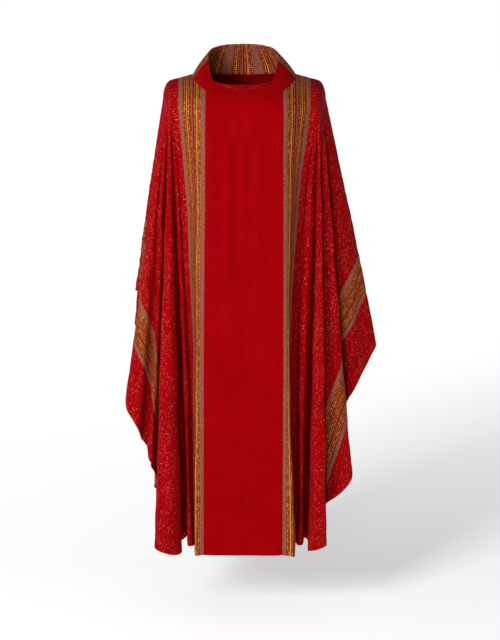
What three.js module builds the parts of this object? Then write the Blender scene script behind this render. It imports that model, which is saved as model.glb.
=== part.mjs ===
// A full chasuble hanging on a wearer: plain wool centre panels, woven ornamental bands, flecked side cloth
// and a wide funnel collar. Millimetres, +Z up, front faces -Y.
// The origin is midway between the shoulders, level with the high point of the shoulder line.
import * as THREE from "three";

// Flat pattern of one half: u runs out from the centre line, v runs down from the shoulder level.
const CENTRE_HALF = 110;
const ORPHREY_END = 185;
const SLEEVE_BAND_START = 595;
const SLEEVE_BAND_END = 680;
const HALF_WIDTH = 790;
const SIDE_STRAIGHT_TO = 680;
const CENTRE_LENGTH = 1446;
const HEM_ROUNDNESS = 2.9;
const HEM_RISE = 42;
const CORNER_RISE = 28;
const SHOULDER_SLOPE = THREE.MathUtils.degToRad(24);

// The shoulders that the cloth rests on.
const TIP_U = 205;
const TIP_V = 20;
const NECK_SIDE_U = 145;
const CHEST_DEPTH = 140;
const BACK_DEPTH = 120;
const TIP_DEPTH = 82;
const TIP_ROUND = 22;
const NECK_CUT_FRONT = 142;
const NECK_CUT_BACK = 88;

// Cloth.
const CLOTH = 1.2;
const HALF_GAP = 0.32;

// Angle at the shoulder tip from straight down out to the shoulder fold.
const FOLD_ANGLE = Math.PI / 2 - SHOULDER_SLOPE;
const DROP = 1280;

// Folds of each side, seen in plan at DROP below the shoulder tip: [distance out from the centre line,
// depth behind the front plane, width of the rounded crest or valley]. A width of 0 is a single point.
const LEFT_FOLDS = {
  front: [
    [60, 0, 60], [125, 2, 18], [142, 72, 8], [152, 44, 8], [166, 115, 10], [184, 28, 0], [199, 0, 0],
    [229, -15, 30], [256, 4, 0], [238, 184, 14], [284, 75, 16], [308, 108, 12], [360, 72, 44],
  ],
  wing: [
    [398, 105, 0], [386, 145, 0], [280, 195, 0], [266, 212, 0], [284, 228, 0], [378, 232, 0],
    [388, 246, 0], [376, 258, 0], [276, 268, 0], [262, 284, 0], [280, 298, 0],
  ],
  shoulderFold: [386, 310],
  back: [
    [382, 405, 20], [366, 290, 8], [350, 395, 16], [334, 270, 10], [316, 385, 18], [300, 255, 10],
    [284, 340, 20], [262, 262, 12], [256, 330, 26], [190, 105, 14], [150, 312, 26], [60, 260, 100],
  ],
};
const RIGHT_FOLDS = {
  front: [
    [60, 0, 60], [134, 2, 22], [150, 78, 8], [160, 46, 8], [172, 122, 8], [187, 26, 0], [199, -6, 0],
    [220, -14, 26], [226, 92, 4], [241, 60, 0], [292, 52, 60],
  ],
  wing: [
    [330, 72, 0], [303, 162, 0], [299, 181, 0], [310, 180, 0], [332, 118, 0], [400, 120, 0], [488, 185, 0],
    [484, 214, 0], [338, 280, 0], [328, 296, 0], [341, 309, 0],
  ],
  shoulderFold: [462, 325],
  back: [
    [432, 425, 28], [398, 330, 14], [368, 395, 26], [300, 232, 10], [274, 350, 22],
    [240, 215, 10], [216, 340, 22], [194, 120, 14], [156, 312, 26], [60, 260, 100],
  ],
};
// How far the front band is drawn in towards the centre half way down, and how far a side sits inwards.
const LEFT_BOW = 20;
const RIGHT_BOW = 38;
const LEFT_LEAN = 8;
const RIGHT_LEAN = 0;

// The plan curve of one side, from the centre of the front round the arm to the centre of the back.
function foldCurve(folds) {
  const stations = (list, direction) =>
    list.flatMap(([x, depth, width]) =>
      width
        ? [[x - (direction * width) / 2, depth], [x + (direction * width) / 2, depth]]
        : [[x, depth]],
    );
  const ahead = [[0, 0], ...stations(folds.front, 1), ...stations(folds.wing, 1)];
  const behind = [...stations(folds.back, -1), [0, CHEST_DEPTH + BACK_DEPTH]];
  const points = [...ahead, folds.shoulderFold, ...behind].map(([x, y]) => new THREE.Vector3(x, y, 0));
  const curve = new THREE.CatmullRomCurve3(points, false, "centripetal");
  const steps = 24;
  curve.arcLengthDivisions = (points.length - 1) * steps;
  const lengths = curve.getLengths();
  const total = lengths[lengths.length - 1];
  const toFold = lengths[ahead.length * steps];
  return {
    curve,
    total,
    frontRate: (toFold - TIP_U) / FOLD_ANGLE,
    backRate: (total - toFold - TIP_U) / FOLD_ANGLE,
  };
}

const LEFT = { sign: -1, bow: LEFT_BOW, lean: LEFT_LEAN, ...foldCurve(LEFT_FOLDS) };
const RIGHT = { sign: 1, bow: RIGHT_BOW, lean: RIGHT_LEAN, ...foldCurve(RIGHT_FOLDS) };

const ease = (t) => THREE.MathUtils.smoothstep(t, 0, 1);

// Flat height of the shoulder line.
function shoulderLine(u) {
  if (u > TIP_U) return TIP_V + (u - TIP_U) * Math.tan(SHOULDER_SLOPE);
  if (u > NECK_SIDE_U) return TIP_V - (TIP_U - u) * 0.267;
  return -8 + 12 * (u / NECK_SIDE_U) ** 2;
}

// Flat height of the neck opening's edge, or of the shoulder line outside it.
function topEdge(u, back) {
  const cut = back ? NECK_CUT_BACK : NECK_CUT_FRONT;
  const inside = Math.max(1 - (u / NECK_SIDE_U) ** 2, 0);
  return shoulderLine(u) + cut * Math.sqrt(inside);
}

// Flat height of the hem.
function hemLine(u) {
  const share = Math.max(1 - (Math.min(u, HALF_WIDTH) / HALF_WIDTH) ** HEM_ROUNDNESS, 0);
  const levelled = HEM_RISE * ease((u - 90) / 160) * (1 - ease((u - 300) / 200));
  const corner = CORNER_RISE * Math.exp(-(((u - 690) / 42) ** 2));
  const round = (CENTRE_LENGTH - SIDE_STRAIGHT_TO) * share ** (1 / HEM_ROUNDNESS);
  return SIDE_STRAIGHT_TO + round - levelled - corner;
}

// Where a point of the flat pattern hangs. Cloth inside the shoulder tip runs over the chest or back and then
// straight down; cloth beyond it hangs in straight lines from the tip, like the surface of a fluted cone.
function hang(signedU, v, back) {
  const side = signedU < 0 ? LEFT : RIGHT;
  const u = Math.abs(signedU);
  const inner = u <= TIP_U;
  const angle = inner ? 0 : Math.atan2(u - TIP_U, v - TIP_V);
  const along = inner ? v - shoulderLine(u) : Math.hypot(u - TIP_U, v - TIP_V);
  const turn = ease(angle / FOLD_ANGLE);
  const chest = inner ? ease((TIP_U - u) / 110) : 0;
  const topX = inner ? u : TIP_U;
  const topZ = inner ? -shoulderLine(u) : -TIP_V;
  const fullDepth = back ? BACK_DEPTH : CHEST_DEPTH;
  const reach = inner
    ? THREE.MathUtils.lerp(TIP_DEPTH, fullDepth, chest)
    : TIP_DEPTH * Math.cos((Math.PI / 2) * (angle / FOLD_ANGLE));
  const fall = inner ? THREE.MathUtils.lerp(60, back ? 90 : 100, chest) : 60 - 10 * turn;
  const outward = TIP_ROUND * turn;
  const bend = (Math.PI / 2) * Math.sqrt((reach ** 2 + fall ** 2 + outward ** 2) / 2);
  const facing = back ? 1 : -1;

  const share = inner ? u : TIP_U + angle * (back ? side.backRate : side.frontRate);
  const station = back ? side.total - share : share;
  const plan = side.curve.getPointAt(THREE.MathUtils.clamp(station / side.total, 0, 1));
  const foot = new THREE.Vector3(plan.x, plan.y - CHEST_DEPTH, -TIP_V - DROP);
  const knee = new THREE.Vector3(topX + outward, facing * reach, topZ - fall);

  const t = THREE.MathUtils.clamp(along / bend, 0, 1) * (Math.PI / 2);
  const point = new THREE.Vector3(
    topX + outward * Math.sin(t),
    facing * reach * Math.sin(t),
    topZ - fall * (1 - Math.cos(t)),
  );
  const straight = foot.sub(knee);
  const below = Math.max(along - bend, 0) / straight.length();
  point.addScaledVector(straight, below);
  const drawn = Math.sin(Math.PI * Math.min(below, 1)) * ease((share - 110) / 70);
  point.x -= drawn * (1 - ease((share - 210) / 120)) * (back ? 0 : side.bow);
  point.x += 5 * turn * Math.sin(Math.PI * Math.min(along / 900, 1));
  const above = 1 - 0.8 * ease(along / 1300);
  const heldIn = THREE.MathUtils.lerp(above, 1, ease((share - 190) / 120));
  point.x -= side.lean * ease(Math.min(u, share) / 90) * heldIn;
  point.x *= side.sign;
  return point;
}

// Direction out of the cloth at a point of the pattern.
function facingOut(u, v, back) {
  const e = 0.05;
  const across = hang(u + e, v, back).sub(hang(u - e, v, back));
  const down = hang(u, v + e, back).sub(hang(u, v - e, back));
  const n = down.cross(across).normalize();
  return back ? n.negate() : n;
}

const parts = new THREE.Group();

function finish(colour, roughness, metalness) {
  return new THREE.MeshStandardMaterial({ color: colour, roughness, metalness });
}

const WOOL = finish(0xa50008, 0.92, 0);
const FLECKED = finish(0xa0101a, 0.82, 0.05);
const BAND = finish(0xb87a34, 0.62, 0.2);
const STIFFENER = finish(0xe8e2d4, 0.95, 0);

// A flat slab divided alike on both faces, so that the two stay parallel when it is bent.
function slab(across, down) {
  const geometry = new THREE.BoxGeometry(1, 1, 1, across, down, 1);
  const index = geometry.getIndex();
  const rear = geometry.groups[5];
  for (let i = rear.start; i < rear.start + rear.count; i += 6) {
    index.setX(i + 2, index.getX(i + 4));
    index.setX(i + 3, index.getX(i));
  }
  return geometry;
}

// A closed sheet of cloth: place(a, b) gives a point and the direction out of the cloth for a and b from 0 to 1.
function sheet(name, material, across, down, place, thickness = CLOTH) {
  const geometry = slab(across, down);
  const position = geometry.getAttribute("position");
  for (let i = 0; i < position.count; i += 1) {
    const a = position.getX(i) + 0.5;
    const b = 0.5 - position.getY(i);
    const { point, out } = place(a, b);
    point.addScaledVector(out, position.getZ(i) * thickness);
    position.setXYZ(i, point.x, point.y, point.z);
  }
  const mesh = new THREE.Mesh(geometry, material.clone());
  mesh.name = name;
  parts.add(mesh);
}

// A panel given by its flat pattern: pattern(a, b) returns [u, v] for the right-hand half.
function panel(name, material, across, down, sign, back, pattern) {
  const flip = sign < 0 !== back;
  sheet(name, material, across, down, (a, b) => {
    const [u, v] = pattern(flip ? 1 - a : a, b);
    return { point: hang(sign * u, v, back), out: facingOut(sign * u, v, back) };
  });
}

// Rows get longer away from the shoulder.
const ROWS = 10;
const rowShare = (b) => b ** 1.8;

// A straight strip of the pattern between two distances from the centre line.
function strip(u0, u1, back) {
  return (a, b) => {
    const u = THREE.MathUtils.lerp(u0, u1, a);
    const top = topEdge(Math.abs(u), back) + HALF_GAP;
    return [u, THREE.MathUtils.lerp(top, hemLine(Math.abs(u)), rowShare(b))];
  };
}

// Distance along a line from the shoulder tip, at an angle from straight down, to the edge of the pattern.
function reachToEdge(angle) {
  let near = 100;
  let far = 1700;
  for (let i = 0; i < 50; i += 1) {
    const middle = (near + far) / 2;
    const u = TIP_U + middle * Math.sin(angle);
    const v = TIP_V + middle * Math.cos(angle);
    if (u < HALF_WIDTH && v < hemLine(u)) near = middle;
    else far = middle;
  }
  return near;
}

// Angle at which a line from the shoulder tip meets the hem exactly where the strip edge at u does.
const cornerAngle = (u) => Math.atan2(u - TIP_U, hemLine(u) - TIP_V);

// Angles of the lines that the panels of one side and layer share beyond the shoulder tip, so that neighbours
// meet exactly. They are closest together where a fold turns sharply.
const INNER_CORNER = cornerAngle(SLEEVE_BAND_START);
const OUTER_CORNER = cornerAngle(SLEEVE_BAND_END);
const TURN_PER_COLUMN = 0.85;
const LENGTH_PER_COLUMN = 120;
function columnAngles(side, back) {
  const rate = back ? side.backRate : side.frontRate;
  const steps = 720;
  const tangentAt = (angle) => {
    const share = TIP_U + angle * rate;
    return side.curve.getTangentAt((back ? side.total - share : share) / side.total);
  };
  const angles = [0];
  let weight = 0;
  let before = tangentAt(0);
  for (let i = 1; i <= steps; i += 1) {
    const angle = (FOLD_ANGLE * i) / steps;
    const now = tangentAt(angle);
    weight += before.angleTo(now) / TURN_PER_COLUMN;
    weight += (rate * FOLD_ANGLE) / steps / LENGTH_PER_COLUMN;
    before = now;
    if (weight >= 1) {
      angles.push(angle);
      weight = 0;
    }
  }
  const clear = (angle) =>
    [INNER_CORNER, OUTER_CORNER, FOLD_ANGLE].every((fixed) => Math.abs(angle - fixed) > 0.006);
  return [...angles.filter(clear), INNER_CORNER, OUTER_CORNER, FOLD_ANGLE].sort((a, b) => a - b);
}

// Point of the pattern on a line from the shoulder tip, kept half a gap below the shoulder fold.
function onRay(angle, distance) {
  return [TIP_U + distance * Math.sin(angle), TIP_V + HALF_GAP + distance * Math.cos(angle)];
}

// The flecked side panel: a narrow strip inside the shoulder tip, then the fan beyond it.
const INSIDE_COLUMNS = 1;
function sidePanel(angles) {
  const fan = angles.length - 1;
  const columns = INSIDE_COLUMNS + fan;
  return {
    columns,
    pattern: (a, b) => {
      const column = Math.round(a * columns);
      const row = rowShare(b);
      if (column < INSIDE_COLUMNS) return strip(ORPHREY_END + HALF_GAP, TIP_U, false)(column, b);
      const angle = angles[column - INSIDE_COLUMNS];
      if (angle === 0) return [TIP_U, THREE.MathUtils.lerp(TIP_V + HALF_GAP, hemLine(TIP_U), row)];
      const toBand = (SLEEVE_BAND_START - HALF_GAP - TIP_U) / Math.sin(angle);
      return onRay(angle, row * Math.min(toBand, reachToEdge(angle)));
    },
  };
}

// A strip beyond the shoulder tip between two distances from the centre line.
function outerStrip(allAngles, u0, u1, firstAngle) {
  const angles = allAngles.filter((angle) => angle >= firstAngle - 1e-9);
  const columns = angles.length - 1;
  return {
    columns,
    pattern: (a, b) => {
      const angle = angles[Math.round(a * columns)];
      const edge = reachToEdge(angle);
      const near = Math.min((u0 + HALF_GAP - TIP_U) / Math.sin(angle), edge);
      const far = Math.min((u1 - HALF_GAP - TIP_U) / Math.sin(angle), edge);
      return onRay(angle, THREE.MathUtils.lerp(near, far, b));
    },
  };
}

for (const back of [false, true]) {
  const layer = back ? "back" : "front";
  const centre = strip(-CENTRE_HALF + HALF_GAP, CENTRE_HALF - HALF_GAP, back);
  panel(`${layer}_centre_panel`, WOOL, 10, ROWS, 1, back, centre);
  for (const [sign, hand] of [[-1, "left"], [1, "right"]]) {
    const orphrey = strip(CENTRE_HALF + HALF_GAP, ORPHREY_END - HALF_GAP, back);
    panel(`${layer}_${hand}_orphrey`, BAND, 5, ROWS, sign, back, orphrey);
    const angles = columnAngles(sign < 0 ? LEFT : RIGHT, back);
    const side = sidePanel(angles);
    panel(`${layer}_${hand}_side_panel`, FLECKED, side.columns, ROWS, sign, back, side.pattern);
    const band = outerStrip(angles, SLEEVE_BAND_START, SLEEVE_BAND_END, INNER_CORNER);
    panel(`${layer}_${hand}_sleeve_band`, BAND, band.columns, 1, sign, back, band.pattern);
    const outer = outerStrip(angles, SLEEVE_BAND_END, HALF_WIDTH + 50, OUTER_CORNER);
    panel(`${layer}_${hand}_outer_panel`, FLECKED, outer.columns, 2, sign, back, outer.pattern);
  }
}

// Collar: a funnel standing on the neck edge. Its upper edge, from the centre of the front round one side.
const COLLAR_TOP = [
  [0, -92, -16], [48, -89, -14], [80, -77, -7], [94, -38, 24], [96, 12, 50],
  [88, 40, 60], [64, 66, 64], [34, 77, 66], [0, 80, 66],
];
const COLLAR_LIFT = 0.6;
const COLLAR_BULGE = 4;
const COLLAR_ROWS = 4;
const topCurve = new THREE.CatmullRomCurve3(
  COLLAR_TOP.map((p) => new THREE.Vector3(...p)),
  false,
  "centripetal",
);

// A point on the collar: round runs from -1 at the centre back, by the left side and 0 at the centre front,
// to 1 at the centre back again; up runs from 0 at the neck seam to 1 at the upper edge.
function collarPoint(round, up) {
  const turned = round > 1 ? round - 2 : round;
  const share = Math.abs(turned);
  const back = share > 0.5;
  const u = NECK_SIDE_U * Math.sin((back ? 1 - share : share) * Math.PI);
  const sign = turned < 0 ? -1 : 1;
  const v = topEdge(u, back) + HALF_GAP;
  const base = hang(sign * u, v, back);
  base.addScaledVector(facingOut(sign * u, v, back), CLOTH + COLLAR_LIFT);
  const top = topCurve.getPoint(share);
  top.x *= sign;
  const point = base.lerp(top, up);
  const outward = new THREE.Vector3(point.x, point.y, 0).normalize();
  return point.addScaledVector(outward, COLLAR_BULGE * Math.sin(Math.PI * up));
}

function collarOut(round, up) {
  const e = 1e-3;
  const s = THREE.MathUtils.clamp(up, e, 1 - e);
  const across = collarPoint(round + e, s).sub(collarPoint(round - e, s));
  const rise = collarPoint(round, s + e).sub(collarPoint(round, s - e));
  return across.cross(rise).normalize();
}

// Places round the neck for columns and up the collar for rows.
function collarFace(round, up, inset) {
  const out = collarOut(round, up);
  return { point: collarPoint(round, up).addScaledVector(out, -inset), out };
}

// A strip of the collar between two places round the neck, set inwards from the outer cloth.
function collarStrip(name, material, from, to, low, high, inset, thickness) {
  const place = (a, b) => {
    const round = THREE.MathUtils.lerp(from, to, a);
    return collarFace(round, THREE.MathUtils.lerp(high, low, b), inset);
  };
  sheet(name, material, Math.round(28 * (to - from)), COLLAR_ROWS, place, thickness);
}

// A strip turned over the collar's upper edge: down the outside to outerEnd(round) and down the inside to
// innerEnd. Both are distances up from 0 to 1; the turn runs between the two insets.
const TURN_ROWS = 6;
const LEG_ROWS = 3;
function turnedStrip(name, material, from, to, outerEnd, innerEnd, outerInset, innerInset, thickness) {
  const rows = TURN_ROWS + 2 * LEG_ROWS;
  const middle = (outerInset + innerInset) / 2;
  const radius = (innerInset - outerInset) / 2;
  const place = (a, b) => {
    const round = THREE.MathUtils.lerp(from, to, a);
    const row = Math.round(b * rows);
    if (row <= LEG_ROWS) {
      const face = collarFace(round, THREE.MathUtils.lerp(innerEnd, 1, row / LEG_ROWS), innerInset);
      return { point: face.point, out: face.out.negate() };
    }
    if (row >= LEG_ROWS + TURN_ROWS) {
      const share = (row - LEG_ROWS - TURN_ROWS) / LEG_ROWS;
      return collarFace(round, THREE.MathUtils.lerp(1, outerEnd(round), share), outerInset);
    }
    const turned = (Math.PI * (LEG_ROWS + TURN_ROWS - row)) / TURN_ROWS;
    const { point, out } = collarFace(round, 1, middle);
    const rise = collarPoint(round, 1).sub(collarPoint(round, 0.99)).normalize();
    const away = out.clone().multiplyScalar(Math.cos(turned)).addScaledVector(rise, Math.sin(turned));
    return { point: point.addScaledVector(away, radius), out: away };
  };
  sheet(name, material, Math.round(28 * (to - from)), rows, place, thickness);
}

const SIDE_SEAM = 0.44;
const SEAM_GAP = 0.0015;
const BACK_SEAM_GAP = 0.003;
const FACING_INSET = 4.1;
collarStrip("collar_front", WOOL, -SIDE_SEAM + SEAM_GAP, SIDE_SEAM - SEAM_GAP, 0, 1, 0, CLOTH);
turnedStrip(
  "collar_band", BAND, SIDE_SEAM + SEAM_GAP, 2 - SIDE_SEAM - SEAM_GAP, () => 0, 0.1, 0, FACING_INSET, CLOTH,
);
collarStrip("collar_interfacing", STIFFENER, -1 + BACK_SEAM_GAP, 1 - BACK_SEAM_GAP, 0.1, 0.95, 2.05, 0.8);
// The facing shows in front as a lens rolled over the upper edge.
const LENS_SHARE = 0.22;
const lensEnd = (round) => 0.97 - 0.24 * Math.max(1 - (round / LENS_SHARE) ** 2, 0);
turnedStrip(
  "collar_facing", FLECKED, -SIDE_SEAM + SEAM_GAP, SIDE_SEAM - SEAM_GAP, lensEnd, 0.1, -1.5, FACING_INSET, 1,
);

export default parts;
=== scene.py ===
"""A chasuble hanging from its wearer's shoulders, in metres, front facing -Y.

Every panel is a sheet of cloth cut on a flat pattern: u runs out from the centre line and v runs down
from the shoulder level, both in millimetres until a mesh is made. hang() says where a point of the
pattern hangs.
"""
import math

import bpy
import numpy as np
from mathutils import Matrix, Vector


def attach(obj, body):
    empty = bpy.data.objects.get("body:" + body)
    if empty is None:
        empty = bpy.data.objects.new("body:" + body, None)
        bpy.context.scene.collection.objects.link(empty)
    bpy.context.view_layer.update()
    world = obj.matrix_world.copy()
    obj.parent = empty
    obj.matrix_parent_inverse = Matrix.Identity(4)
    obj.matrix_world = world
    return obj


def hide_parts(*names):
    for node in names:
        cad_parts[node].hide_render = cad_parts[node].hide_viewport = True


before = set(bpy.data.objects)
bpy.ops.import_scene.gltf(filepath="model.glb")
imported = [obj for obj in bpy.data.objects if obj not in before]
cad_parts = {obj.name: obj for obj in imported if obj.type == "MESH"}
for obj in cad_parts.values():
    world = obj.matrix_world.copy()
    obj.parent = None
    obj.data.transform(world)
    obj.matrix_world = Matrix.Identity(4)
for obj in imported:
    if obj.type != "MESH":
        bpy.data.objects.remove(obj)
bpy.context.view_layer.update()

# ---------------------------------------------------------------- flat pattern, millimetres

CENTRE_HALF = 110
ORPHREY_END = 185
SLEEVE_BAND_START = 595
SLEEVE_BAND_END = 680
HALF_WIDTH = 790
SIDE_STRAIGHT_TO = 680
CENTRE_LENGTH = 1446
HEM_ROUNDNESS = 2.9
HEM_RISE = 42
CORNER_RISE = 28
SHOULDER_SLOPE = math.radians(24)

TIP_U = 205
TIP_V = 20
NECK_SIDE_U = 145
CHEST_DEPTH = 140
BACK_DEPTH = 120
TIP_DEPTH = 82
TIP_ROUND = 22
CHEST_SPREAD = 110
TIP_FALL, CHEST_FALL, BACK_FALL = 60, 100, 90
NECK_CUT_FRONT = 142
NECK_CUT_BACK = 88

# thickness, the hem's turn-up, and how far cloth strays from its even shape, in millimetres
CLOTH = 1.0
HEM_TURN = 20
HEM_EXTRA = 1.1
SWAY = 5
SEAM_SINK = 0.8
PUCKER = 0.3
BROAD_UNEVENNESS = 1.6
SMALL_UNEVENNESS = 0.5
COLLAR_CREASE = 0.32
FOLD_ANGLE = math.pi / 2 - SHOULDER_SLOPE
DROP = 1280
CURVE_STEPS = 48

# Folds of each side in plan: (distance out from the centre line, depth behind the front plane, width).
LEFT_FOLDS = {
    "front": [
        (60, 0, 60), (125, 2, 18), (142, 72, 8), (152, 44, 8), (166, 115, 10), (184, 28, 0), (199, 0, 0),
        (229, -15, 30), (256, 4, 0), (238, 184, 14), (284, 75, 16), (308, 108, 12), (360, 72, 44),
    ],
    "wing": [
        (398, 105, 0), (386, 145, 0), (280, 195, 0), (266, 212, 0), (284, 228, 0), (378, 232, 0),
        (388, 246, 0), (376, 258, 0), (276, 268, 0), (262, 284, 0), (280, 298, 0),
    ],
    "shoulder": (386, 310),
    "back": [
        (382, 405, 20), (366, 290, 8), (350, 395, 16), (334, 270, 10), (316, 385, 18), (300, 255, 10),
        (284, 340, 20), (262, 262, 12), (256, 330, 26), (190, 105, 14), (150, 312, 26), (60, 260, 100),
    ],
}
RIGHT_FOLDS = {
    "front": [
        (60, 0, 60), (134, 2, 22), (150, 78, 8), (160, 46, 8), (172, 122, 8), (187, 26, 0), (199, -6, 0),
        (220, -14, 26), (226, 92, 4), (241, 60, 0), (292, 52, 60),
    ],
    "wing": [
        (330, 72, 0), (303, 162, 0), (299, 181, 0), (310, 180, 0), (332, 118, 0), (400, 120, 0),
        (488, 185, 0), (484, 214, 0), (338, 280, 0), (328, 296, 0), (341, 309, 0),
    ],
    "shoulder": (462, 325),
    "back": [
        (432, 425, 28), (398, 330, 14), (368, 395, 26), (300, 232, 10), (274, 350, 22),
        (240, 215, 10), (216, 340, 22), (194, 120, 14), (156, 312, 26), (60, 260, 100),
    ],
}
# How far the band's outer edge is drawn in towards the centre half way down, and how far a side sits inwards.
LEFT_BOW, RIGHT_BOW = 20, 38
LEFT_LEAN, RIGHT_LEAN = 8, 0


def ease(t):
    t = np.clip(t, 0, 1)
    return t * t * (3 - 2 * t)


def lerp(a, b, t):
    return a + (b - a) * t


def smooth_curve(points, steps=CURVE_STEPS):
    """A centripetal Catmull-Rom curve through the points, as a dense polyline and its running length."""
    p = np.asarray(points, float)
    p = np.vstack([2 * p[0] - p[1], p, 2 * p[-1] - p[-2]])
    t = np.linspace(0, 1, steps, endpoint=False)[:, None]
    out = []
    for a, b, c, d in zip(p[:-3], p[1:-2], p[2:-1], p[3:]):
        k0, k1, k2 = (max(np.linalg.norm(y - x), 1e-6) ** 0.5 for x, y in ((a, b), (b, c), (c, d)))
        m1 = ((b - a) / k0 - (c - a) / (k0 + k1) + (c - b) / k1) * k1
        m2 = ((c - b) / k1 - (d - b) / (k1 + k2) + (d - c) / k2) * k1
        out.append(b + m1 * t + (-3 * b + 3 * c - 2 * m1 - m2) * t**2 + (2 * b - 2 * c + m1 + m2) * t**3)
    line = np.vstack(out + [p[-2][None]])
    length = np.concatenate([[0], np.cumsum(np.linalg.norm(np.diff(line, axis=0), axis=1))])
    return line, length


class Side:
    """One half of the garment: the plan curve its folds follow, and how fast each layer runs along it."""

    def __init__(self, sign, folds, bow, lean):
        def stations(entries, direction):
            points = []
            for x, depth, width in entries:
                half = direction * width / 2
                points += [(x - half, depth), (x + half, depth)] if width else [(x, depth)]
            return points

        ahead = [(0, 0)] + stations(folds["front"], 1) + stations(folds["wing"], 1)
        behind = stations(folds["back"], -1) + [(0, CHEST_DEPTH + BACK_DEPTH)]
        self.sign, self.bow, self.lean = sign, bow, lean
        self.line, self.length = smooth_curve(ahead + [folds["shoulder"]] + behind)
        self.total = self.length[-1]
        to_fold = self.length[len(ahead) * CURVE_STEPS]
        self.front_rate = (to_fold - TIP_U) / FOLD_ANGLE
        self.back_rate = (self.total - to_fold - TIP_U) / FOLD_ANGLE

    def plan(self, share, back):
        station = np.clip(self.total - share if back else share, 0, self.total)
        x = np.interp(station, self.length, self.line[:, 0])
        return x, np.interp(station, self.length, self.line[:, 1])


LEFT = Side(-1, LEFT_FOLDS, LEFT_BOW, LEFT_LEAN)
RIGHT = Side(1, RIGHT_FOLDS, RIGHT_BOW, RIGHT_LEAN)


def shoulder_line(u):
    near = -8 + 12 * (u / NECK_SIDE_U) ** 2
    return np.where(
        u > TIP_U,
        TIP_V + (u - TIP_U) * math.tan(SHOULDER_SLOPE),
        np.where(u > NECK_SIDE_U, TIP_V - (TIP_U - u) * 0.267, near),
    )


def top_edge(u, back):
    cut = NECK_CUT_BACK if back else NECK_CUT_FRONT
    return shoulder_line(u) + cut * np.sqrt(np.maximum(1 - (u / NECK_SIDE_U) ** 2, 0))


def hem_line(u):
    share = np.maximum(1 - (np.minimum(u, HALF_WIDTH) / HALF_WIDTH) ** HEM_ROUNDNESS, 0)
    levelled = HEM_RISE * ease((u - 90) / 160) * (1 - ease((u - 300) / 200))
    corner = CORNER_RISE * np.exp(-(((u - 690) / 42) ** 2))
    rounded = (CENTRE_LENGTH - SIDE_STRAIGHT_TO) * share ** (1 / HEM_ROUNDNESS)
    return SIDE_STRAIGHT_TO + rounded - levelled - corner


def waves(a, b, seed, octaves=5):
    """Smooth, repeatable irregularity between about -1 and 1 for two coordinates in wavelengths."""
    rng = np.random.default_rng(seed)
    total = np.zeros(np.broadcast(a, b).shape)
    for _ in range(octaves):
        turn, speed, phase = rng.uniform(0, 2 * math.pi), rng.uniform(0.7, 1.5), rng.uniform(0, 2 * math.pi)
        total = total + np.sin(2 * math.pi * speed * (a * math.cos(turn) + b * math.sin(turn)) + phase)
    return total / octaves**0.5 / 1.3


def hang(side, back, u, v):
    """Where points of the pattern hang, in millimetres.

    Cloth inside the shoulder tip runs over the chest or the back and then down. Cloth beyond it falls
    from the tip like the surface of a fluted cone.
    """
    u, v = np.broadcast_arrays(np.asarray(u, float), np.asarray(v, float))
    inner = u <= TIP_U
    angle = np.where(inner, 0, np.arctan2(np.maximum(u - TIP_U, 0), v - TIP_V))
    along = np.where(inner, v - shoulder_line(u), np.hypot(u - TIP_U, v - TIP_V))
    portion = angle / FOLD_ANGLE
    turn = ease(portion)
    chest = np.where(inner, ease((TIP_U - u) / CHEST_SPREAD), 0)
    top_x = np.where(inner, u, TIP_U)
    top_z = np.where(inner, -shoulder_line(u), -TIP_V)
    full = BACK_DEPTH if back else CHEST_DEPTH
    rounded = TIP_DEPTH * np.cos(math.pi / 2 * np.clip(portion, 0, 1))
    reach = np.where(inner, lerp(TIP_DEPTH, full, chest), rounded)
    full_fall = BACK_FALL if back else CHEST_FALL
    fall = np.where(inner, lerp(TIP_FALL, full_fall, chest), TIP_FALL - 10 * turn)
    outward = TIP_ROUND * turn
    bend = math.pi / 2 * np.sqrt((reach**2 + fall**2 + outward**2) / 2)
    facing = 1 if back else -1

    seed = 10 + 2 * (side.sign > 0) + back
    rate = side.back_rate if back else side.front_rate
    share = np.where(inner, u, TIP_U + rate * angle)
    loose = ease((share - 90) / 120)
    share = share + SWAY * loose * ease(along / 500) * waves(share / 420, along / 900, seed)
    x, depth = side.plan(share, back)
    foot = np.stack([x, depth - CHEST_DEPTH, np.full_like(x, -TIP_V - DROP)], -1)
    knee = np.stack([top_x + outward, facing * reach, top_z - fall], -1)
    t = np.clip(along / bend, 0, 1) * math.pi / 2
    point = np.stack(
        [top_x + outward * np.sin(t), facing * reach * np.sin(t), top_z - fall * (1 - np.cos(t))], -1
    )
    fall_line = foot - knee
    reach_down = np.linalg.norm(fall_line, axis=-1)
    below = np.maximum(along - bend, 0)
    point = point + fall_line * (below / reach_down)[..., None]
    drawn = np.sin(math.pi * np.clip(below / reach_down, 0, 1)) * ease((share - 110) / 70)
    drawn = drawn * (1 - ease((share - 210) / 120))
    point[..., 0] -= drawn * (0 if back else side.bow)
    point[..., 0] += 5 * turn * np.sin(math.pi * np.clip(along / 900, 0, 1))
    held_in = lerp(1 - 0.8 * ease(along / 1300), 1, ease((share - 190) / 120))
    point[..., 0] -= side.lean * ease(np.minimum(u, share) / 90) * held_in
    point[..., 0] *= side.sign
    return point


# ---------------------------------------------------------------- meshes


def zipper(upper, lower, upper_at, lower_at):
    """Faces between two rows of vertices whose places along the row are given: quads where they match."""
    faces, i, j = [], 0, 0
    while i < len(upper) - 1 or j < len(lower) - 1:
        next_up = upper_at[i + 1] if i < len(upper) - 1 else math.inf
        next_low = lower_at[j + 1] if j < len(lower) - 1 else math.inf
        if abs(next_up - next_low) < 1e-9:
            faces.append((upper[i], lower[j], lower[j + 1], upper[i + 1]))
            i, j = i + 1, j + 1
        elif next_up < next_low:
            faces.append((upper[i], lower[j], upper[i + 1]))
            i += 1
        else:
            faces.append((upper[i], lower[j], lower[j + 1]))
            j += 1
    return faces


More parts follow.
